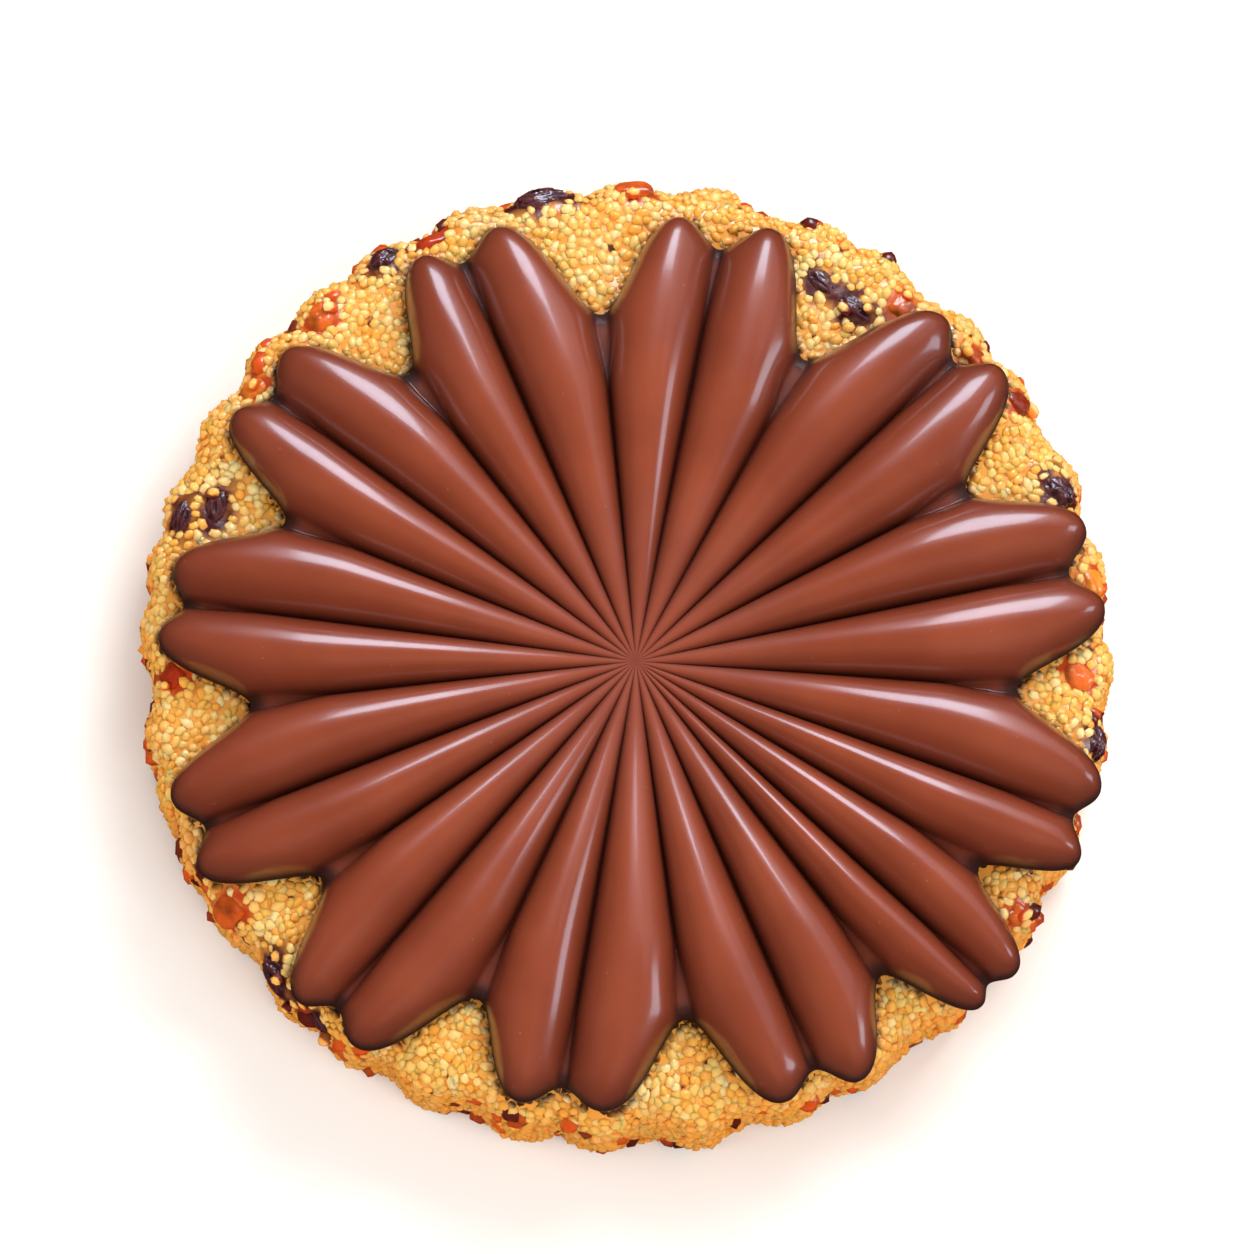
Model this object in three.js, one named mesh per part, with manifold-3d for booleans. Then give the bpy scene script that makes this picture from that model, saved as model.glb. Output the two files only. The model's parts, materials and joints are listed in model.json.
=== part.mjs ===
// A multigrain cookie: a thick round of small golden grains baked together, with raisins and candied
// fruit set in it, and a moulded milk-chocolate flower of twelve two-lobed petals lying on top.
// Millimetres, +Z up, the cookie resting on Z = 0. Azimuths run anticlockwise from +X, in degrees.

import * as THREE from 'three';
import { mergeVertices } from 'three/addons/utils/BufferGeometryUtils.js';
import Module from 'manifold-3d';

// ---- Driving dimensions ----

// The round of grains
const cookieRadius = 73.4; // of the wall, of which the lumps stand out and between which it dips
const cookieHeight = 19.5;
const cookieOval = 0.5; // longer front to back by this on the radius, and narrower across
const shoulderRadius = 5.5; // rounding of the upper rim
const footRadius = 3.0; // rounding of the lower rim
const seatRadius = 50; // the top is level inside this, where the chocolate hides it
const ringWidth = 3.6; // radial width of a band of grain relief on the top
const wallRings = 4; // bands of relief down the upright wall
const roundSteps = 156; // facets round the cookie

// Lumps of the rim: azimuth of each, its height and its half width along the rim
const lumpAzimuths = [
  10, 22, 35, 44, 57, 65, 79, 90, 100, 110, 121, 131, 140, 150, 161, 169, 177, 191, 198, 206, 213, 226,
  235, 246, 257, 267, 279, 290, 300, 312, 325, 336, 348, 358,
];
const lumpHeight = 2.2;
const lumpHalfWidth = 3.7; // degrees
const lumpValley = 0.7; // depth of the dips between two lumps
const cragDepth = 0.9; // deepest pit between two grains of the relief
const pitBias = 1.5; // above 1, so that most pits are shallow
const reliefSeed = 11;
const footLeans = [50, 90]; // directions of the rings round the lower rim, in degrees below level

// The chocolate flower, measured from the point where its ridges meet
const flowerX = 1.45;
const flowerY = -3.4;
const chocolateGap = 0.3; // clearance under the chocolate
const chocolateFloor = 2.4; // thickness in the grooves
const lobeRise = 9.2; // height that a lobe would come up to above the grooves
const lobeRiseRadius = 42; // about where the lobes have come up
const levelMiddle = 6; // how far out the lobes stay shallow
const risePower = 4; // how sharply the rise of a lobe turns level near lobeRiseRadius
const lobeDroop = 0.2; // share of its rise that a lobe loses over its last stretch, down to the tip
const droopStart = 44;
const droopLength = 28;
const ridgeJoin = 1.1; // how tightly the two flanks and the rolled edge join at a crest
const edgeRoll = 2.5; // how far from the outline its roll is felt
const grooveRound = 0.2; // rounding of a crease between two lobes
const footRound = 0.35; // rounding of a flank into the groove
const webLength = 13; // at its end a groove opens into a level web over this length
const webHalf = 1.1; // half the width of the web at a notch
const webFoot = 1.0; // rounding of the flanks beside the web
const webReach = 2.0; // how far from the groove that rounding is felt
const dentWeb = 0.45; // share of the web's width at a dent
const dentReach = 64; // the dents lie outside this radius and the notches inside it
const undercut = 0.7; // tuck of the lower edge
const undercutHeight = 1.3;
const tipFullness = 1.1; // exponent that makes the tips a little blunter than a wave
// Each petal: notch before it, first tip, dent between its lobes, second tip, as azimuth and radius
const petals = [
  [[-4.2, 58.1], [7.0, 72.1], [12.0, 67.7], [17.3, 72.1]],
  [[28.0, 57.5], [39.5, 73.1], [44.3, 68.6], [49.0, 72.7]],
  [[61.8, 54.8], [73.0, 72.3], [79.0, 67.3], [84.3, 71.4]],
  [[95.5, 55.8], [107.5, 72.7], [112.7, 69.2], [117.5, 72.7]],
  [[127.3, 57.7], [138.0, 73.3], [143.0, 69.8], [147.7, 73.3]],
  [[157.5, 58.2], [168.3, 72.3], [172.5, 69.6], [176.7, 72.9]],
  [[186.5, 59.0], [197.0, 73.6], [201.5, 70.2], [206.0, 73.7]],
  [[215.5, 58.2], [226.0, 73.3], [230.0, 70.1], [234.5, 73.1]],
  [[245.5, 57.5], [255.5, 70.3], [260.5, 66.9], [265.7, 69.7]],
  [[277.7, 56.0], [288.3, 71.7], [293.0, 68.7], [297.5, 73.1]],
  [[307.2, 61.2], [314.3, 74.6], [316.7, 73.0], [319.8, 75.0]],
  [[328.3, 61.0], [335.3, 73.9], [340.0, 70.6], [344.0, 73.3]],
];
const flankSteps = 6; // facets from a notch to a tip
const dentSteps = 4; // facets from a tip to a dent
// Shares of the outline radius at which the flower's rings lie
const flowerShares = [0.28, 0.56, 0.73, 0.83, 0.9, 0.95, 0.985, 1];

// Raisins and candied fruit. Azimuth; distance down over the rim from the middle of the shoulder
// (negative on the top); length, width and thickness; turn of the length from the rim's direction
const raisins = [
  [100.4, 0.0, 9.0, 5.0, 4.4, 0],
  [163.0, -1.0, 6.0, 4.2, 4.0, 0],
  [160.6, -6.5, 7.4, 3.8, 3.6, 12],
  [121.2, -0.8, 5.4, 4.4, 4.0, 20],
  [20.4, -1.5, 6.0, 5.0, 4.2, 30],
  [348.2, 1.5, 6.0, 4.6, 4.0, 0],
  [62.6, -7.8, 6.2, 3.8, 3.6, -18],
  [56.7, -9.7, 7.0, 4.0, 3.6, -12],
  [224.5, 2.8, 8.6, 5.2, 4.2, -27],
  [232.0, 6.6, 8.6, 5.0, 4.2, -27],
];
const candiedPieces = [
  [132.0, -3.2, 5.6, 4.6, 3.8, 30],
  [114.8, 0.3, 6.0, 4.0, 3.6, 10],
  [144.3, -1.0, 5.0, 4.2, 3.6, -20],
  [89.1, 0.3, 7.0, 4.2, 3.6, 0],
  [214.3, 1.2, 6.6, 5.4, 4.2, 90],
  [184.0, -1.4, 4.6, 4.2, 3.4, 45],
  [51.7, -2.9, 4.6, 4.4, 3.4, 0],
  [40.2, -0.9, 5.0, 4.0, 3.4, 0],
  [32.8, -0.4, 5.0, 4.0, 3.4, 15],
  [355.8, -3.2, 5.4, 4.4, 3.6, 60],
  [8.2, 0.2, 5.0, 4.2, 3.4, 0],
  [324.7, -0.6, 3.8, 3.4, 3.0, 0],
];
const fruitSunk = 0.28; // of a piece's thickness, how deep its middle lies under the surface
const fruitGap = 0.3; // clearance between a piece and its pocket
const raisinWrinkle = 0.12; // folds of a raisin's skin, as a share of its size
const candiedWrinkle = 0.06;
const wrinkleLevel = 0.4; // how far the folds lie inside the named size
const wrinkleWaves = [3, 3, 2]; // folds along, across and through a piece
const raisinSeed = 31;
const candiedSeed = 71;
const fruitSides = 7;
const fruitBands = 5;

// ---- Small helpers ----

const radians = THREE.MathUtils.degToRad;

// Repeatable draws in [0, 1)
function seededDraws(seed) {
  let state = seed;
  return () => {
    state = (state * 1664525 + 1013904223) % 4294967296;
    return state / 4294967296;
  };
}

// Half a cosine wave, 0 at t = 0 and 1 at t = 1, level at both ends
const easeWave = (t) => (1 - Math.cos(Math.PI * THREE.MathUtils.clamp(t, 0, 1))) / 2;

// The signed difference of two azimuths, within half a turn
const azimuthBetween = (a, b) => THREE.MathUtils.euclideanModulo(a - b + 180, 360) - 180;

// A point at an azimuth and a radius, at Z = 0
const flatPoint = (azimuth, radius) => new THREE.Vector3(
  radius * Math.cos(radians(azimuth)), radius * Math.sin(radians(azimuth)), 0);

// Closes a stack of rings, each with the same number of points, between two end points
function closedStack(firstPoint, rings, lastPoint) {
  const count = rings[0].length;
  const points = [firstPoint, ...rings.flat(), lastPoint];
  const last = points.length - 1;
  const faces = [];
  for (let i = 0; i < count; i += 1) {
    const next = (i + 1) % count;
    faces.push(0, 1 + i, 1 + next);
    for (let ring = 0; ring < rings.length - 1; ring += 1) {
      const a = 1 + ring * count + i;
      const b = 1 + ring * count + next;
      faces.push(a, a + count, b + count, a, b + count, b);
    }
    const start = 1 + (rings.length - 1) * count;
    faces.push(start + i, last, start + next);
  }
  const values = points.flatMap((point) => point.toArray());
  const geometry = new THREE.BufferGeometry();
  geometry.setAttribute('position', new THREE.Float32BufferAttribute(values, 3));
  geometry.setIndex(faces);
  return geometry;
}

// ---- The round of grains ----

// Radius of the wall at an azimuth, with the rim's lumps
function wallRadius(azimuth) {
  const bulges = lumpAzimuths.map((lump) => {
    const away = azimuthBetween(azimuth, lump) / lumpHalfWidth;
    return lumpHeight * Math.exp(-away * away);
  });
  return cookieRadius - cookieOval * Math.cos(radians(2 * azimuth)) + Math.max(...bulges) - lumpValley;
}

const halfShoulder = (shoulderRadius * Math.PI) / 4; // from the middle of the shoulder to its ends

// A point of the smooth skin and its outward direction, at an azimuth and a distance down over the rim
function skin(azimuth, down) {
  const outer = wallRadius(azimuth);
  let radius = outer - shoulderRadius;
  let height = cookieHeight;
  let lean = 0;
  if (down < -halfShoulder) {
    radius += down + halfShoulder;
  } else if (down <= halfShoulder) {
    lean = Math.PI / 4 + down / shoulderRadius;
    radius += shoulderRadius * Math.sin(lean);
    height += shoulderRadius * (Math.cos(lean) - 1);
  } else {
    lean = Math.PI / 2;
    radius = outer;
    height -= shoulderRadius + down - halfShoulder;
  }
  const point = flatPoint(azimuth, radius).setZ(height);
  const outward = flatPoint(azimuth, Math.sin(lean)).setZ(Math.cos(lean));
  return { point, outward };
}

// Rings from the level seat out over the rim and down to the foot, roughened by pits between grains
function cookieRings() {
  const draw = seededDraws(reliefSeed);
  const pit = () => -cragDepth * draw() ** pitBias;
  const topWidth = cookieRadius - shoulderRadius - seatRadius;
  const topRings = Math.round(topWidth / ringWidth);
  const wallHeight = cookieHeight - shoulderRadius - footRadius;
  const downs = [];
  for (let i = 0; i <= topRings; i += 1) {
    downs.push(-halfShoulder - topWidth * (1 - i / topRings));
  }
  downs.push(-halfShoulder / 3, halfShoulder / 3);
  for (let i = 0; i <= wallRings; i += 1) {
    downs.push(halfShoulder + (wallHeight * i) / wallRings);
  }
  const rings = downs.map((down, ring) => {
    const points = [];
    for (let i = 0; i < roundSteps; i += 1) {
      const azimuth = (360 * (i + (ring % 2) / 2)) / roundSteps;
      const { point, outward } = skin(azimuth, down);
      points.push(ring === 0 ? point : point.addScaledVector(outward, pit()));
    }
    return points;
  });
  for (const lean of footLeans) {
    const inset = footRadius * (1 - Math.cos(radians(lean)));
    const height = footRadius * (1 - Math.sin(radians(lean)));
    const points = [];
    for (let i = 0; i < roundSteps; i += 1) {
      const azimuth = (360 * i) / roundSteps;
      const radius = wallRadius(azimuth) - inset + (height > 0 ? pit() : 0);
      points.push(flatPoint(azimuth, radius).setZ(height));
    }
    rings.push(points);
  }
  return rings;
}

const cookieGeometry = closedStack(
  new THREE.Vector3(0, 0, cookieHeight), cookieRings(), new THREE.Vector3(0, 0, 0));

// ---- The fruit ----

// A rounded, wrinkled piece, optionally grown by a clearance, set into the skin of the cookie
function fruitGeometry([azimuth, down, length, width, thickness, turn], wrinkle, clearance, seed) {
  const draw = seededDraws(seed);
  const phases = wrinkleWaves.map(() => draw() * 2 * Math.PI);
  const half = new THREE.Vector3(length, width, thickness).divideScalar(2).addScalar(clearance);
  const geometry = new THREE.SphereGeometry(1, fruitSides, fruitBands);
  const positions = geometry.attributes.position;
  const point = new THREE.Vector3();
  for (let i = 0; i < positions.count; i += 1) {
    point.fromBufferAttribute(positions, i);
    const waves = point.toArray().map((along, axis) => Math.sin(wrinkleWaves[axis] * along + phases[axis]));
    const fold = waves[0] * waves[1] * waves[2];
    point.multiplyScalar(1 - wrinkle * (wrinkleLevel + fold)).multiply(half);
    positions.setXYZ(i, point.x, point.y, point.z);
  }
  const { point: place, outward } = skin(azimuth, down);
  const lengthways = flatPoint(azimuth + 90, 1).applyAxisAngle(outward, radians(turn));
  const widthways = new THREE.Vector3().crossVectors(outward, lengthways);
  const centre = place.addScaledVector(outward, -fruitSunk * thickness);
  const matrix = new THREE.Matrix4().makeBasis(lengthways, widthways, outward).setPosition(centre);
  return geometry.applyMatrix4(matrix);
}

// ---- The chocolate flower ----

// Outline points as azimuth and radius, with a half wave from each turning point to the next, and
// the two ends of the grooves on both sides of the lobe that each point belongs to
function flowerOutline() {
  const turns = petals.flat();
  const around = (i) => turns[i % turns.length];
  const found = [];
  for (let i = 0; i < turns.length; i += 1) {
    const rising = i % 2 === 0; // from a notch or a dent out to a tip
    const besideNotch = i % 4 === 0 || i % 4 === 3;
    const steps = besideNotch ? flankSteps : dentSteps;
    const grooves = rising ? [around(i), around(i + 2)] : [around(i - 1), around(i + 1)];
    const [fromAzimuth, fromRadius] = around(i);
    const [nextAzimuth, toRadius] = around(i + 1);
    const toAzimuth = nextAzimuth < fromAzimuth ? nextAzimuth + 360 : nextAzimuth;
    const [tip, root] = rising ? [toRadius, fromRadius] : [fromRadius, toRadius];
    for (let step = 0; step < steps; step += 1) {
      const share = easeWave(step / steps);
      const fromTip = (rising ? 1 - share : share) ** tipFullness;
      found.push({
        azimuth: THREE.MathUtils.lerp(fromAzimuth, toAzimuth, share),
        radius: THREE.MathUtils.lerp(tip, root, easeWave(fromTip)),
        grooves,
      });
    }
  }
  return found;
}

const outline = flowerOutline();
const outlinePoints = outline.map(({ azimuth, radius }) => flatPoint(azimuth, radius));

const nearest = 0.05; // stands in for no distance at all, in the sum below
const smallestRoom = 1e-3; // stands in for no room at all, beside a groove

// Distance from a point inside the flower to its outline, eased so that it has no ridges: along a
// straight edge the fourth powers of the distances to its points add up to the cube of the distance
function distanceToEdge(point) {
  let sum = 0;
  for (let i = 0; i < outlinePoints.length; i += 1) {
    const start = outlinePoints[i];
    const side = outlinePoints[(i + 1) % outlinePoints.length].clone().sub(start);
    const parts = Math.ceil(side.length());
    for (let part = 0; part < parts; part += 1) {
      const away = point.distanceTo(start.clone().addScaledVector(side, (part + 0.5) / parts));
      sum += side.length() / parts / Math.max(away, nearest) ** 4;
    }
  }
  return ((2 * sum) / Math.PI) ** (-1 / 3);
}

// A distance that starts level, which turns a crease into a rounded valley
const roundedOff = (distance, rounding) => Math.hypot(distance, rounding) - rounding;

// Height of the chocolate over its flat underside. A lobe is blown up between its two grooves and the
// outline, so that its section is an arch and its crest bends smoothly to its tip
function chocolateHeight([before, after], azimuth, point) {
  const radius = point.length();
  const edge = distanceToEdge(point);
  const grown = Math.min(radius / lobeRiseRadius, 1);
  const rooms = [edge * (1 + edge / edgeRoll)];
  let foot = footRound * grown;
  for (const [grooveAzimuth, grooveReach] of [before, after]) {
    const away = radius * Math.abs(Math.sin(radians(azimuthBetween(azimuth, grooveAzimuth))));
    const opened = THREE.MathUtils.smoothstep(radius, grooveReach - webLength, grooveReach)
      * (grooveReach > dentReach ? dentWeb : 1);
    rooms.push(roundedOff(Math.max(away - webHalf * opened, 0), grooveRound * grown));
    foot = Math.max(foot, footRound * grown + webFoot * opened * Math.exp(-((away / webReach) ** 2)));
  }
  const powers = rooms.map((room) => Math.max(room, smallestRoom) ** -ridgeJoin);
  const joined = (powers[0] + powers[1] + powers[2]) ** (-1 / ridgeJoin);
  const halfSector = radians(THREE.MathUtils.euclideanModulo(after[0] - before[0], 360)) / 2;
  const widest = radius * halfSector * 2 ** (-1 / ridgeJoin); // the room at the crest, away from the edge
  const outward = radius / lobeRiseRadius;
  const droop = 1 - lobeDroop * THREE.MathUtils.clamp((radius - droopStart) / droopLength, 0, 1) ** 2;
  const rise = ((lobeRise * outward) / (1 + outward ** risePower) ** (1 / risePower))
    * (radius / (radius + levelMiddle)) * droop;
  const rim = Math.min(1, edge / chocolateFloor);
  const floor = (chocolateFloor - undercutHeight) * Math.sqrt(1 - (1 - rim) ** 2);
  return undercutHeight + floor + roundedOff(rise * Math.sqrt(joined / widest), foot);
}

function flowerGeometry() {
  const base = cookieHeight + chocolateGap;
  const rings = flowerShares.map((share) => outline.map(({ azimuth, grooves }, i) => {
    const point = outlinePoints[i].clone().multiplyScalar(share);
    const height = share < 1 ? chocolateHeight(grooves, azimuth, point) : undercutHeight;
    return point.setZ(base + height);
  }));
  rings.push(outlinePoints.map((point) => point.clone().setLength(point.length() - undercut).setZ(base)));
  const top = new THREE.Vector3(0, 0, base + chocolateFloor);
  const bottom = new THREE.Vector3(0, 0, base);
  return closedStack(top, rings, bottom);
}

// ---- Pockets for the fruit ----

const solids = await Module();
solids.setup();
const mergeDistance = 1e-4;

function toSolid(geometry) {
  const bare = geometry.clone();
  bare.deleteAttribute('normal');
  bare.deleteAttribute('uv');
  const merged = mergeVertices(bare, mergeDistance);
  return new solids.Manifold(new solids.Mesh({
    numProp: 3,
    vertProperties: new Float32Array(merged.attributes.position.array),
    triVerts: new Uint32Array(merged.index.array),
  }));
}

function fromSolid(solid) {
  const mesh = solid.getMesh();
  const geometry = new THREE.BufferGeometry();
  geometry.setAttribute('position', new THREE.Float32BufferAttribute(mesh.vertProperties, 3));
  geometry.setIndex(new THREE.Uint32BufferAttribute(mesh.triVerts, 1));
  return geometry;
}

let cookieSolid = toSolid(cookieGeometry);
raisins.forEach((raisin, i) => {
  const pocket = fruitGeometry(raisin, raisinWrinkle, fruitGap, raisinSeed + i);
  cookieSolid = cookieSolid.subtract(toSolid(pocket));
});
candiedPieces.forEach((piece, i) => {
  const pocket = fruitGeometry(piece, candiedWrinkle, fruitGap, candiedSeed + i);
  cookieSolid = cookieSolid.subtract(toSolid(pocket));
});

// ---- Materials and assembly ----

const bakedGrain = new THREE.MeshStandardMaterial({ color: 0xf3b656, roughness: 0.45, metalness: 0 });
const milkChocolate = new THREE.MeshStandardMaterial({ color: 0x874737, roughness: 0.25, metalness: 0 });
const raisinSkin = new THREE.MeshStandardMaterial({ color: 0x35191f, roughness: 0.35, metalness: 0 });
const candiedFruit = new THREE.MeshStandardMaterial({ color: 0xc9551b, roughness: 0.3, metalness: 0 });

const cookie = new THREE.Group();

function addPiece(name, geometry, material) {
  const mesh = new THREE.Mesh(geometry, material);
  mesh.name = name;
  cookie.add(mesh);
  return mesh;
}

addPiece('grain_base', fromSolid(cookieSolid), bakedGrain);
addPiece('chocolate_flower', flowerGeometry(), milkChocolate).position.set(flowerX, flowerY, 0);
raisins.forEach((raisin, i) => {
  addPiece(`raisin_${i + 1}`, fruitGeometry(raisin, raisinWrinkle, 0, raisinSeed + i), raisinSkin);
});
candiedPieces.forEach((piece, i) => {
  const geometry = fruitGeometry(piece, candiedWrinkle, 0, candiedSeed + i);
  addPiece(`candied_fruit_${i + 1}`, geometry, candiedFruit);
});

// The origin is the middle of the whole cookie's footprint
const box = new THREE.Box3().setFromObject(cookie, true);
const middle = box.getCenter(new THREE.Vector3());
cookie.position.set(-middle.x, -middle.y, 0);

export default cookie;
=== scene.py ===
# A multigrain cookie: golden grains, raisins and candied fruit baked into a thick round, with a
# moulded milk-chocolate flower of twelve two-lobed petals lying on it.
# Metres, +Z up, the cookie resting on Z = 0. Azimuths run anticlockwise from +X, in degrees.

import json
import math

import bpy
import numpy as np
from mathutils import Matrix, Vector, noise

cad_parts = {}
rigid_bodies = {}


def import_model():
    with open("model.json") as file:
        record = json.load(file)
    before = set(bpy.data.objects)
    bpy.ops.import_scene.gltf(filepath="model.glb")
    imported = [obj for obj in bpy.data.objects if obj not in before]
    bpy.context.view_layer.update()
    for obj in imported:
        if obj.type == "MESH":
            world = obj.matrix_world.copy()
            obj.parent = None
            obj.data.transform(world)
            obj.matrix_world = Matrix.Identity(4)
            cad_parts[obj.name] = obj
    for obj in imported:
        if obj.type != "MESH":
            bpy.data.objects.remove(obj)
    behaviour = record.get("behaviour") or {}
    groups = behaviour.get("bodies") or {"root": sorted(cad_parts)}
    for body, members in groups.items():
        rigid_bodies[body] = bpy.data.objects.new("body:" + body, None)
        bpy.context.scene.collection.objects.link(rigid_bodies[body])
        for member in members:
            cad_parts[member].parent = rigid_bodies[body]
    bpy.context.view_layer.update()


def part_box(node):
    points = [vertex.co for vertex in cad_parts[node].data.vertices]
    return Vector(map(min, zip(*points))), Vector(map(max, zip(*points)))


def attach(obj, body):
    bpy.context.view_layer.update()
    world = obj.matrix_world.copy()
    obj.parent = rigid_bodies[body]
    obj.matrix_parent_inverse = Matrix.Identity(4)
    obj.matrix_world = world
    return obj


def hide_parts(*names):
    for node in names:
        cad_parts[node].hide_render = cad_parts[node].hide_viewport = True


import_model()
mm = 0.001


# ---- Camera ----
# It looks down on the cookie from the front, 75 degrees above the table and 1.2 m away, through a
# long lens, so that the round shows a little of its front wall.

camera_elevation = math.radians(75)
camera_distance = 1.2
looked_at = Vector((0.1 * mm, 3.45 * mm, 16.5 * mm))
film_width = 36  # millimetres, as the lens length is
lens_length = 225

camera_data = bpy.data.cameras.new("camera")
camera_data.sensor_width = film_width
camera_data.lens = lens_length
camera = bpy.data.objects.new("camera", camera_data)
towards_camera = Vector((0, -math.cos(camera_elevation), math.sin(camera_elevation)))
camera.location = looked_at + camera_distance * towards_camera
camera.rotation_euler = (math.pi / 2 - camera_elevation, 0, 0)
bpy.context.scene.collection.objects.link(camera)
bpy.context.scene.camera = camera


# ---- The chocolate flower ----
# Milk chocolate poured in a mould and turned out: twelve petals of two full lobes whose ridges run
# to one point, in a shallow dish. Its form follows a formula, so each point of its mesh is worked out.
# It is glossy and duller in the middle; shade is painted into it, darker in its grooves and towards its foot.

petals = [  # notch, first tip, dent and second tip of each petal: azimuth and millimetres of radius
    [(-4.2, 58.1), (7.0, 72.1), (12.0, 67.7), (17.3, 72.1)],
    [(28.0, 57.5), (39.5, 73.1), (44.3, 68.6), (49.0, 72.7)],
    [(61.8, 54.8), (73.0, 72.3), (79.0, 67.3), (84.3, 71.4)],
    [(95.5, 55.8), (107.5, 72.7), (112.7, 69.2), (117.5, 72.7)],
    [(127.3, 57.7), (138.0, 73.3), (143.0, 69.8), (147.7, 73.3)],
    [(157.5, 58.2), (168.3, 72.3), (172.5, 69.6), (176.7, 72.9)],
    [(186.5, 59.0), (197.0, 73.6), (201.5, 70.2), (206.0, 73.7)],
    [(215.5, 58.2), (226.0, 73.3), (230.0, 70.1), (234.5, 73.1)],
    [(245.5, 57.5), (255.5, 70.3), (260.5, 66.9), (265.7, 69.7)],
    [(277.7, 56.0), (288.3, 71.7), (293.0, 68.7), (297.5, 73.1)],
    [(307.2, 61.2), (314.3, 74.6), (316.7, 73.0), (319.8, 75.0)],
    [(328.3, 61.0), (335.3, 73.9), (340.0, 70.6), (344.0, 73.3)],
]
tip_fullness = 1.1
chocolate_floor = 2.4 * mm  # thickness under the grooves
lobe_rise = 9.2 * mm
level_middle = 6 * mm  # how far out the lobes stay shallow
lobe_rise_radius = 42 * mm
rise_power = 4
lobe_droop = 0.2  # how much of its rise a lobe has lost at its tip, from the droop start on
droop_start = 44 * mm
droop_length = 28 * mm
edge_roll = 2.5 * mm  # how far from the outline its roll is felt
ridge_join = 1.1  # how firmly the two flanks of a lobe meet at its crest
groove_round = 0.2 * mm
foot_round = 0.35 * mm
web_half = 1.1 * mm  # half the width of the level web at a notch, which narrows over the web length
dent_web = 0.45  # share of that width at the dents, which lie further out than the notches
dent_reach = 64 * mm
web_foot = 1.0 * mm  # how softly the lobes rise out of the web
web_length = 13 * mm
web_reach = 2.0 * mm
web_unshaded_share = 0.75  # share of a crest's freedom from the painted groove shade that the web keeps
undercut = 0.7 * mm
undercut_height = 1.3 * mm
flank_steps = 32
dent_steps = 24
model_flank_steps = 6  # the CAD flower's own steps, for finding its centre
model_dent_steps = 4
edge_flank_steps = 40  # steps of the finer outline that distances are taken to
edge_dent_steps = 20
ease_start = 0.8 * mm  # distance to the outline from which it is eased, and over which length
ease_length = 1.2 * mm


def ease_wave(t):
    """Half a cosine wave from 0 to 1."""
    return (1 - np.cos(np.pi * np.clip(t, 0, 1))) / 2


def flower_outline(to_tip, to_dent):
    """Rows of azimuth and radius, then azimuth and length of the lobe's groove before and after it."""
    turns = np.array(petals).reshape(-1, 2) * (1, mm)
    count = len(turns)
    rows = []
    for i in range(count):
        rising = i % 2 == 0
        steps = to_tip if i % 4 in (0, 3) else to_dent
        start, end = turns[i], turns[(i + 1) % count]
        groove, tip = (start, end) if rising else (end, start)
        before, after = (start, turns[(i + 2) % count]) if rising else (turns[i - 1], end)
        share = ease_wave(np.arange(steps) / steps)
        azimuth = start[0] + (end[0] - start[0]) % 360 * share
        from_tip = (1 - share if rising else share) ** tip_fullness
        radius = tip[1] + (groove[1] - tip[1]) * ease_wave(from_tip)
        ends = np.tile(np.concatenate([before, after]), (steps, 1))
        rows.append(np.column_stack([azimuth, radius, ends]))
    return np.concatenate(rows)


def flat_points(azimuth, radius):
    """Points in the plane at these azimuths and radii."""
    turn = np.radians(azimuth)
    return np.stack([radius * np.cos(turn), radius * np.sin(turn)], axis=-1)


edge_line = flower_outline(edge_flank_steps, edge_dent_steps)
edge_starts = flat_points(edge_line[:, 0], edge_line[:, 1])
edge_along = np.roll(edge_starts, -1, axis=0) - edge_starts
edge_lengths = np.hypot(*edge_along.T)


def distance_to_edge(points):
    """Distance to the outline, eased away from it so that no ridge forms where two sides are as near."""
    away = points[:, None] - edge_starts
    share = np.clip((away * edge_along).sum(axis=2) / edge_lengths ** 2, 0, 1)
    nearest = np.sqrt(((away - share[..., None] * edge_along) ** 2).sum(axis=2).min(axis=1))
    to_middles = ((away - edge_along / 2) ** 2).sum(axis=2) + 1e-12
    eased = (np.pi / 2 / (edge_lengths / to_middles ** 2).sum(axis=1)) ** (1 / 3)
    inward = np.clip((nearest - ease_start) / ease_length, 0, 1)
    return nearest + (eased - nearest) * inward


def rounded_off(distance, radius):
    """A distance that starts flat, for a rounded valley in place of a crease."""
    return np.sqrt(distance ** 2 + radius ** 2) - radius


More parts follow.
